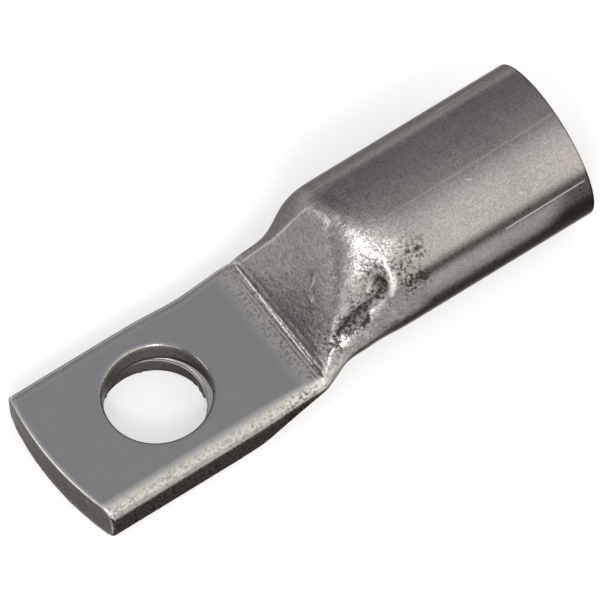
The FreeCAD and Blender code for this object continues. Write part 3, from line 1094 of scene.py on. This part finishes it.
def store_marks_and_painted_light(mesh: bpy.types.Mesh) -> None:
    """Work out the marks, the painted shade and the painted highlight from the finished mesh, as attributes.

    Each is made of smooth steps and humps over a vertex's place, normal and bend.

    Args:
        mesh: The lug's mesh, in metres.
    """
    place = np.empty(len(mesh.vertices) * 3)
    mesh.vertices.foreach_get("co", place)
    place = place.reshape(-1, 3) / MM
    normal = np.empty(len(mesh.vertices) * 3)
    mesh.vertex_normals.foreach_get("vector", normal)
    normal = normal.reshape(-1, 3)
    bend = vertex_bend(mesh, place, normal)
    x, y, z = place.T
    up = normal[:, 2]
    axis = LugSizes().radius
    inside = (np.hypot(y, z - axis) < 7.0) & (x > 22.0)
    # How far the skin faces up, lowered over the palm, for the painted underside shade.
    low = up - 0.14 * smooth_step(14.0, 11.0, x)
    end_face = smooth_step(-0.7, -0.9, normal[:, 0]) * (x < -8.0)
    from_axis = np.hypot(x, y)
    at_hole = from_axis < 5.9
    in_hole = at_hole & (z > 0.1) & (z < 4.7)
    # The seam's ledge in the hole, which gets a painted highlight.
    ledge = at_hole & (z > 2.1) & (z < 2.56)
    turned = np.degrees(np.arctan2(-y, z - axis))
    # Painted shade: a dark patch on the lower near side by the mouth.
    painted_mouth_shade = 0.95 * smooth_step(62.0, 68.0, turned) * smooth_step(100.0, 85.0, turned)
    painted_mouth_shade *= smooth_step(39.0, 43.0, x + 0.08 * (turned - 70.0))
    # Convex edges: wear, and a painted highlight along them.
    edges = smooth_step(0.12, 0.6, bend) * smooth_step(44.4, 44.0, x)
    edges *= smooth_step(0.985, 0.93, np.abs(normal[:, 1]) * (x > 14.5))
    crease = smooth_step(10.8, 12.7, x) * smooth_step(14.2, 13.9, x) * smooth_step(0.4, 0.6, up)
    centres = np.array(PressMarks().mauled)
    nearest = np.min(np.linalg.norm(place[:, None] - centres, axis=-1), axis=1)
    near_edge = bump(normal[:, 1], -0.72, 0.28) * smooth_step(13.6, 12.8, x) * ~at_hole
    near_edge *= np.maximum(0.3, np.maximum(bump(x, -11.5, 1.6), 0.8 * bump(x, 11.0, 2.6)))
    levels = {
        SkinLayer.PRESSED: smooth_step(12.6, 13.2, x) * smooth_step(26.5, 22.0, x),
        # Painted shade on the side that faces down, and a little on the ramp and on the neck's far side.
        SkinLayer.BELOW: np.where(inside | in_hole, 0.0, smooth_step(0.16, -0.05, low)) * (1.0 - end_face)
        + 0.09 * smooth_step(-0.5, -0.75, normal[:, 0]) * (x > 14.0)
        + 0.22 * smooth_step(0.5, 0.65, normal[:, 1]) * smooth_step(18.0, 22.0, x),
        # Wear and painted highlight on convex edges and on the hole's seam.
        SkinLayer.EDGE_WEAR_AND_HIGHLIGHT: np.where(from_axis < 6.3, ledge, edges),
        # Painted shade in the concave skin behind the crease.
        SkinLayer.PAINTED_HOLLOW_SHADE: smooth_step(-0.08, -0.5, bend) * smooth_step(14.6, 15.6, x),
        SkinLayer.PALM: smooth_step(12.9, 11.4, x) * smooth_step(0.86, 0.97, up),
        SkinLayer.COINED: np.maximum(crease, end_face * smooth_step(0.9, 0.3, z)),
        # Dull cut faces, with stronger painted shade on the hole's wall.
        SkinLayer.SHEARED_AND_HOLE_SHADE: np.maximum(0.7 * end_face,
                                  np.maximum(1.4 * (in_hole & ~ledge), smooth_step(44.45, 44.6, x))),
        # Painted dark reflection as a line along the barrel, and painted shade by its mouth.
        SkinLayer.PAINTED_DARK_REFLECTION_AND_SHADE: np.maximum(bump(turned, 64.5, 4.6) * smooth_step(22.5, 26.0, x), painted_mouth_shade)
        * smooth_step(-0.1, 0.1, up),
        SkinLayer.MAULED: np.maximum(bump(nearest, 0.0, 1.4), near_edge),
    }
    for trace, level in levels.items():
        layer = mesh.attributes.new(trace.value, "FLOAT", "POINT")
        layer.data.foreach_set("value", level.astype(np.float32))


@dataclass(frozen=True)
class TinnedCopper:
    """Hot-tinned copper tube, drawn, pressed and tumbled: satin grey with a faint warm cast.

    The tin gives a soft mirror with a fine grain. It is lighter on worn convex edges and the hole's
    seam, partly as painted highlight, darker with painted shade in hollows, on the side that faces
    down and in the hole, darker along a line on the barrel as a painted dark reflection, and
    mottled where the press gripped it.

    Attributes:
        light: Clean tin.
        dark: Dull tin.
        bright: Light tin of worn edges and scratches; on convex edges and the hole's seam it is
        also a painted highlight.
        soot_and_shade: Grime in pits, also used for the painted shade and the painted dark reflection.
        palm: Tin flattened between the dies, cooler and lighter.
        edge: Tint of the metal at a grazing angle.
        grain: Size of the tin's grain in millimetres, as coarse as it needs to show.
        drawn: Spacing of the drawn tube's lines in millimetres, as coarse as they need to show.
        mottle: Size of the press's mottling in millimetres.
        pit: Size of the pits in millimetres.
        cloud: Size of the soft stains in millimetres.
        mottle_height: Height of the press's mottling in millimetres.
        pit_depth: Depth of the mauled pits in millimetres.
        grain_height: Height of the grain in millimetres.
        least_roughness: Roughness of the smoothest tin.
        mottle_roughness: What the mottling adds at most.
        palm_roughness: What the palm adds.
        barrel_scratches: For each scratch, both ends as place along x and degrees that the tube
            is turned from its top towards near, then its half width in millimetres and its strength.
    """

    light: str = "#9A9794"
    dark: str = "#7B7978"
    # Light tin of wear, also used as painted highlight on convex edges and the hole's seam.
    bright: str = "#CBCAC3"
    # Dark of pit grime, also used for painted shade and a painted dark reflection.
    soot_and_shade: str = "#35312F"
    palm: str = "#A0A4A7"
    edge: str = "#A4A2A0"
    grain: float = 0.2
    drawn: float = 0.25
    mottle: float = 0.8
    pit: float = 0.34
    cloud: float = 7.0
    mottle_height: float = 0.08
    pit_depth: float = 0.05
    grain_height: float = 0.006
    least_roughness: float = 0.1
    mottle_roughness: float = 0.22
    palm_roughness: float = 0.14
    barrel_scratches: tuple[tuple[Pair, Pair, float, float], ...] = (
        ((35.2, 67.6), (44.1, 67.1), 0.11, 0.6), ((24.5, 16.6), (44.2, 15.6), 0.14, 0.2),
        ((37.6, 49.0), (38.0, 50.2), 0.1, 0.25), ((33.8, 23.2), (34.2, 24.2), 0.1, 0.4),
        ((40.4, 48.0), (38.9, 53.5), 0.07, 0.2), ((29.0, 37.0), (30.2, 38.5), 0.07, 0.25),
        ((36.0, -40.0), (41.5, -43.0), 0.08, 0.5), ((28.0, -110.0), (33.0, -108.0), 0.08, 0.5),
        ((31.0, 130.0), (38.0, 133.0), 0.08, 0.5))

    def material(self) -> bpy.types.Material:
        """Build the node material on Object coordinates and the mesh's traces.

        Returns:
            The material.
        """
        material = bpy.data.materials.new("tinned_copper_tumbled")
        material.use_nodes = True
        tree = material.node_tree
        tree.nodes.clear()
        place = add_node(tree, "ShaderNodeTexCoord").outputs["Object"]
        skin = {}
        for trace in SkinLayer:
            settings = {"attribute_name": trace.value}
            skin[trace.value] = add_node(tree, "ShaderNodeAttribute", settings).outputs["Fac"]
        for name, size, detail in (("cloud", self.cloud, 3.0), ("mottle", self.mottle, 5.0),
                                   ("grain", self.grain, 2.0), ("pit", self.pit, 1.0)):
            skin[name] = add_node(tree, "ShaderNodeTexNoise", Vector=place, Scale=1.0 / (size * MM),
                                  Detail=detail, Roughness=0.6).outputs["Fac"]
        drawn_place = add_node(tree, "ShaderNodeMapping", Vector=place, Scale=(0.03, 1.0, 1.0)).outputs[0]
        skin["drawn"] = add_node(tree, "ShaderNodeTexNoise", Vector=drawn_place,
                                 Scale=1.0 / (self.drawn * MM), Detail=3.0, Roughness=0.7).outputs["Fac"]
        tone = self.clean_tin(tree, skin)
        # Over the tin go pit grime with painted shade and a painted dark reflection, then the light
        # scratches.
        layers = ((self.dullness_and_shade(tree, skin), self.soot_and_shade), (self.scratches(tree, place), self.bright))
        for share, colour in layers:
            tone = add_node(tree, "ShaderNodeMix", {"data_type": "RGBA"}, in_0=share, in_6=tone,
                            in_7=linear(colour)).outputs[2]
        rough = add_node(tree, "ShaderNodeMath", {"operation": "MULTIPLY_ADD"}, in_0=skin["mottle"],
                         in_1=self.mottle_roughness, in_2=self.least_roughness)
        rough = add_node(tree, "ShaderNodeMath", {"operation": "MULTIPLY_ADD"}, in_0=skin["palm"],
                         in_1=self.palm_roughness, in_2=rough.outputs[0])
        surface = add_node(tree, "ShaderNodeBsdfPrincipled", Metallic=1.0, Base_Color=tone,
                           Roughness=rough.outputs[0], Specular_Tint=linear(self.edge),
                           Normal=self.relief(tree, skin))
        add_node(tree, "ShaderNodeOutputMaterial", Surface=surface.outputs["BSDF"])
        return material

    def clean_tin(self, tree: bpy.types.NodeTree, skin: Sockets) -> bpy.types.NodeSocket:
        """Add the nodes of the clean tin's colour.

        The level between dull and clean tin is the sum of clouds, mottling, grain and drawn lines,
        each times its gain, which for the mottling is larger where the press gripped. The palm,
        the light of worn edges, which is also a painted highlight on convex edges and the hole's
        seam, and the high spots of the coined crease go over it.

        Args:
            tree: The material's tree.
            skin: The traces and the noises by name.

        Returns:
            The colour.
        """
        level = add_node(tree, "ShaderNodeMath", {"operation": "MULTIPLY_ADD"}, in_0=skin["cloud"],
                         in_1=0.9, in_2=-0.45)
        gain = add_node(tree, "ShaderNodeMath", {"operation": "MULTIPLY_ADD"}, in_0=skin["pressed"],
                        in_1=1.6, in_2=0.5)
        uneven = add_node(tree, "ShaderNodeMath", {"operation": "SUBTRACT"}, in_0=skin["mottle"], in_1=0.5)
        level = add_node(tree, "ShaderNodeMath", {"operation": "MULTIPLY_ADD"}, in_0=uneven.outputs[0],
                         in_1=gain.outputs[0], in_2=level.outputs[0])
        fine = add_node(tree, "ShaderNodeMath", {"operation": "MULTIPLY_ADD"}, in_0=skin["grain"],
                        in_1=2.2, in_2=-0.6)
        level = add_node(tree, "ShaderNodeMath", {"operation": "ADD"}, in_0=level.outputs[0],
                         in_1=fine.outputs[0])
        lines = add_node(tree, "ShaderNodeMath", {"operation": "MULTIPLY_ADD"}, in_0=skin["drawn"],
                         in_1=0.5, in_2=-0.25)
        level = add_node(tree, "ShaderNodeMath", {"operation": "ADD", "use_clamp": True},
                         in_0=level.outputs[0], in_1=lines.outputs[0])
        flat = add_node(tree, "ShaderNodeMath", {"operation": "MULTIPLY"}, in_0=skin["palm"], in_1=0.8)
        struck = add_node(tree, "ShaderNodeMapRange", in_0=skin["pit"], in_1=0.3, in_2=0.58)
        struck = add_node(tree, "ShaderNodeMath", {"operation": "MULTIPLY"}, in_0=struck.outputs[0],
                          in_1=skin["coined"])
        # Lighter tin on worn convex edges and the hole's seam, partly a painted highlight, and on the coined
        # crease's high spots.
        worn = add_node(tree, "ShaderNodeMath", {"operation": "MAXIMUM", "use_clamp": True},
                        in_0=skin["edge_wear_and_highlight"], in_1=struck.outputs[0])
        worn = add_node(tree, "ShaderNodeMath", {"operation": "MULTIPLY"}, in_0=worn.outputs[0], in_1=0.85)
        tone = linear(self.dark)
        for share, colour in ((level, self.light), (flat, self.palm), (worn, self.bright)):
            tone = add_node(tree, "ShaderNodeMix", {"data_type": "RGBA"}, in_0=share.outputs[0], in_6=tone,
                            in_7=linear(colour)).outputs[2]
        return tone

    def dullness_and_shade(self, tree: bpy.types.NodeTree, skin: Sockets) -> bpy.types.NodeSocket:
        """Add the nodes of how much dark covers the tin: grime in pits, and painted shade.

        It is a sum of pits, which stand closer where the press gripped and thinner on the palm, of
        specks where the skin is mauled, and of the painted shade in hollows, underneath and in the
        hole, the dull cut faces and the painted dark reflection along the barrel, each times its gain.

        Args:
            tree: The material's tree.
            skin: The traces and the noises by name.

        Returns:
            Its level, from 0 to 1.
        """
        spots = add_node(tree, "ShaderNodeMapRange", in_0=skin["pit"], in_1=0.57, in_2=0.66)
        patch = add_node(tree, "ShaderNodeMapRange", in_0=skin["mottle"], in_1=0.42, in_2=0.6)
        spread = add_node(tree, "ShaderNodeMath", {"operation": "MULTIPLY"}, in_0=skin["pressed"],
                          in_1=patch.outputs[0])
        spread = add_node(tree, "ShaderNodeMath", {"operation": "MULTIPLY_ADD"}, in_0=spread.outputs[0],
                          in_1=0.3, in_2=0.16)
        spread = add_node(tree, "ShaderNodeMath", {"operation": "MULTIPLY_ADD"}, in_0=skin["palm"],
                          in_1=-0.13, in_2=spread.outputs[0])
        dull = add_node(tree, "ShaderNodeMath", {"operation": "MULTIPLY"}, in_0=spots.outputs[0],
                        in_1=spread.outputs[0])
        specks = add_node(tree, "ShaderNodeMapRange", in_0=skin["pit"], in_1=0.44, in_2=0.6, in_4=0.95)
        # Painted shade in hollows, mauled specks, dull cut faces with painted shade in the hole, a painted
        # dark reflection along the barrel with painted shade by its mouth, and painted shade on the side that
        # faces down.
        for name, gain in (("painted_hollow_shade", 0.75), ("mauled", specks.outputs[0]), ("sheared_and_hole_shade", 0.45),
                           ("painted_dark_reflection_and_shade", 0.86), ("below", 0.84)):
            dull = add_node(tree, "ShaderNodeMath", {"operation": "MULTIPLY_ADD", "use_clamp": True},
                            in_0=skin[name], in_1=gain, in_2=dull.outputs[0])
        return dull.outputs[0]

    def relief(self, tree: bpy.types.NodeTree, skin: Sockets) -> bpy.types.NodeSocket:
        """Add the nodes of the relief: the press's mottling, the mauled pits and the grain.

        Args:
            tree: The material's tree.
            skin: The traces and the noises by name.

        Returns:
            The bumped normal.
        """
        gripped = add_node(tree, "ShaderNodeMath", {"operation": "MULTIPLY"}, in_0=skin["mottle"],
                           in_1=skin["pressed"])
        coarse = add_node(tree, "ShaderNodeBump", Height=gripped.outputs[0], Strength=1.0,
                          Distance=self.mottle_height * MM)
        torn = add_node(tree, "ShaderNodeMath", {"operation": "MULTIPLY"}, in_0=skin["pit"],
                        in_1=skin["mauled"])
        rough = add_node(tree, "ShaderNodeBump", Height=torn.outputs[0], Strength=1.0,
                         Distance=-self.pit_depth * MM, Normal=coarse.outputs[0])
        fine = add_node(tree, "ShaderNodeBump", Height=skin["grain"], Strength=1.0,
                        Distance=self.grain_height * MM, Normal=rough.outputs[0])
        return fine.outputs[0]

    def scratches(self, tree: bpy.types.NodeTree, place: bpy.types.NodeSocket) -> bpy.types.NodeSocket:
        """Add the nodes of the single scratches along the barrel.

        Each is bright within its width of the straight line between its ends, and dies out there.

        Args:
            tree: The material's tree.
            place: Object coordinates.

        Returns:
            Level of the scratches, from 0 to 1.
        """
        radius = LugSizes().radius
        level = None
        for start, end, width, strength in self.barrel_scratches:
            ends = [Vector((x, -radius * math.sin(math.radians(turn)),
                            radius + radius * math.cos(math.radians(turn)))) * MM for x, turn in (start, end)]
            run = ends[1] - ends[0]
            offset = add_node(tree, "ShaderNodeVectorMath", {"operation": "SUBTRACT"}, in_0=place,
                              in_1=ends[0])
            share = add_node(tree, "ShaderNodeVectorMath", {"operation": "DOT_PRODUCT"},
                             in_0=offset.outputs[0], in_1=run / run.length_squared)
            share = add_node(tree, "ShaderNodeClamp", Value=share.outputs["Value"])
            foot = add_node(tree, "ShaderNodeVectorMath", {"operation": "SCALE"}, in_0=run,
                            Scale=share.outputs[0])
            gap = add_node(tree, "ShaderNodeVectorMath", {"operation": "DISTANCE"}, in_0=offset.outputs[0],
                           in_1=foot.outputs[0])
            line = add_node(tree, "ShaderNodeMapRange", in_0=gap.outputs["Value"], in_1=0.3 * width * MM,
                            in_2=width * MM, in_3=strength, in_4=0.0)
            level = line.outputs[0] if level is None else add_node(
                tree, "ShaderNodeMath", {"operation": "MAXIMUM"}, in_0=level, in_1=line.outputs[0]).outputs[0]
        return level


@dataclass
class Studio:
    """White table, soft sky and the camera of the photograph.

    Attributes:
        target: Point in millimetres at which the camera looks.
        right: Image's right in the object's frame.
        up: Image's up.
        back: From the object to the camera.
        frame_width: Width in millimetres that the image covers at the target.
        lens: Focal length in millimetres, long because the photograph has no perspective.
        sky_stops: Place from near to far and brightness of each stop of the sky.
        warm: The sky's tint on the near side.
        cool: Its tint on the far side.
        table_half: Half the table's side in metres.
        table_drop: How far the table lies under the lug in metres, so that the two don't meet.
        lamps: Each lamp's name, place and side in metres, and power in watts. The first makes
            the highlight on the near shoulder.
    """

    target: Triple = (15.77, -1.46, 8.62)
    right: Triple = (0.8297, -0.5552, -0.0581)
    up: Triple = (0.5044, 0.7008, 0.5035)
    back: Triple = (-0.239, -0.447, 0.862)
    frame_width: float = 56.8
    lens: float = 1000.0
    sky_stops: tuple[Pair, ...] = ((0.0, 1.85), (0.07, 1.82), (0.125, 1.75), (0.195, 1.6), (0.277, 1.45),
                                   (0.32, 1.32), (0.367, 1.1), (0.415, 0.84), (0.513, 0.72), (0.665, 0.62),
                                   (0.76, 0.525), (0.85, 0.49), (0.925, 0.446), (1.0, 0.4))
    warm: Triple = (1.03, 1.0, 0.93)
    cool: Triple = (1.01, 0.965, 1.03)
    table_half: float = 4.0
    table_drop: float = 0.00002
    lamps: tuple[tuple[str, Triple, float, float], ...] = (
        ("key_softbox", (-0.376, -0.624, 0.695), 0.16, 2.6),
        ("left_softbox", (-0.78, 0.32, 0.3), 0.4, 1.0))

    def camera(self) -> None:
        """Make the camera on the line from the target along the image's back."""
        data = bpy.data.cameras.new("camera")
        data.lens = self.lens
        data.sensor_width = 36.0
        data.clip_start = 0.1
        data.clip_end = 20.0
        camera = bpy.data.objects.new("camera", data)
        axes = Matrix((self.right, self.up, self.back)).transposed()
        distance = self.frame_width * self.lens / data.sensor_width * MM
        place = Vector(self.target) * MM + Vector(self.back).normalized() * distance
        camera.matrix_world = Matrix.Translation(place) @ axes.to_4x4()
        bpy.context.scene.collection.objects.link(camera)
        bpy.context.scene.camera = camera

    def floor(self) -> None:
        """Make the white table, whose colour is lifted to white for camera, gloss and glass."""
        half, height = self.table_half, -self.table_drop
        vertices = np.array([[-half, -half, height], [half, -half, height], [half, half, height],
                             [-half, half, height]])
        table = mesh_object("table", vertices, np.array([[0, 1, 2, 3]]))
        material = bpy.data.materials.new("white_paper")
        material.use_nodes = True
        tree = material.node_tree
        tree.nodes.clear()
        path = add_node(tree, "ShaderNodeLightPath")
        seen = add_node(tree, "ShaderNodeMath", {"operation": "ADD"}, in_0=path.outputs["Is Camera Ray"],
                        in_1=path.outputs["Is Glossy Ray"])
        seen = add_node(tree, "ShaderNodeMath", {"operation": "ADD", "use_clamp": True},
                        in_0=seen.outputs[0], in_1=path.outputs["Is Transmission Ray"])
        lift = add_node(tree, "ShaderNodeMath", {"operation": "MULTIPLY"}, in_0=seen.outputs[0], in_1=0.5)
        paper = add_node(tree, "ShaderNodeBsdfPrincipled", Base_Color=linear("#C8C8C8"), Roughness=0.9,
                         Emission_Color=(1.0, 1.0, 1.0, 1.0), Emission_Strength=lift.outputs[0])
        add_node(tree, "ShaderNodeOutputMaterial", Surface=paper.outputs["BSDF"])
        table.data.materials.append(material)

    def sky(self) -> None:
        """Make the soft sky: a wide bright cloth on the near side that dims towards the far side."""
        world = bpy.data.worlds.new("soft_sky")
        world.use_nodes = True
        bpy.context.scene.world = world
        tree = world.node_tree
        tree.nodes.clear()
        direction = add_node(tree, "ShaderNodeTexCoord").outputs["Generated"]
        parts = add_node(tree, "ShaderNodeSeparateXYZ", Vector=direction)
        across = add_node(tree, "ShaderNodeMapRange", in_0=parts.outputs["Y"], in_1=-1.0, in_2=1.0)
        cloth = add_node(tree, "ShaderNodeValToRGB", in_0=across.outputs[0])
        self.paint(cloth.color_ramp, self.sky_stops, self.warm, self.cool)
        light = add_node(tree, "ShaderNodeBackground", Color=cloth.outputs["Color"], Strength=1.0)
        add_node(tree, "ShaderNodeOutputWorld", Surface=light.outputs["Background"])

    @staticmethod
    def paint(ramp: bpy.types.ColorRamp, stops: tuple[Pair, ...], start: Triple, end: Triple) -> None:
        """Set a ramp's stops to levels whose tint runs from start to end.

        Args:
            ramp: The ramp.
            stops: Place and level of each stop.
            start: Tint at the ramp's start.
            end: Tint at its end.
        """
        for place, _ in stops[1:-1]:
            ramp.elements.new(place)
        for element, (place, level) in zip(ramp.elements, stops):
            tint = [a * (1.0 - place) + b * place for a, b in zip(start, end)]
            element.position = place
            element.color = (*(level * c for c in tint), 1.0)

    def softbox(self, name: str, place: Triple, size: float, power: float) -> None:
        """Hang a square soft lamp that faces the lug.

        Args:
            name: The lamp's name.
            place: Its place in metres.
            size: Its side in metres.
            power: Its power in watts.
        """
        data = bpy.data.lights.new(name, "AREA")
        data.shape = "SQUARE"
        data.size = size
        data.energy = power
        lamp = bpy.data.objects.new(name, data)
        away = Vector(place) - Vector(self.target) * MM
        lamp.matrix_world = Matrix.Translation(place) @ away.to_track_quat("Z", "Y").to_matrix().to_4x4()
        bpy.context.scene.collection.objects.link(lamp)

    def build(self) -> None:
        """Set up camera, floor, sky and lamps, with colours shown as they are."""
        bpy.context.scene.view_settings.view_transform = "Standard"
        self.camera()
        self.floor()
        self.sky()
        for lamp in self.lamps:
            self.softbox(*lamp)


def main() -> None:
    """Load the frame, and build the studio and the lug."""
    logging.basicConfig(level=logging.INFO, format="%(message)s")
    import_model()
    Studio().build()
    LOG.info("studio: camera, table, sky and lamps")
    CableLug().dress()
    bpy.context.view_layer.update()


if __name__ == "__main__":
    main()
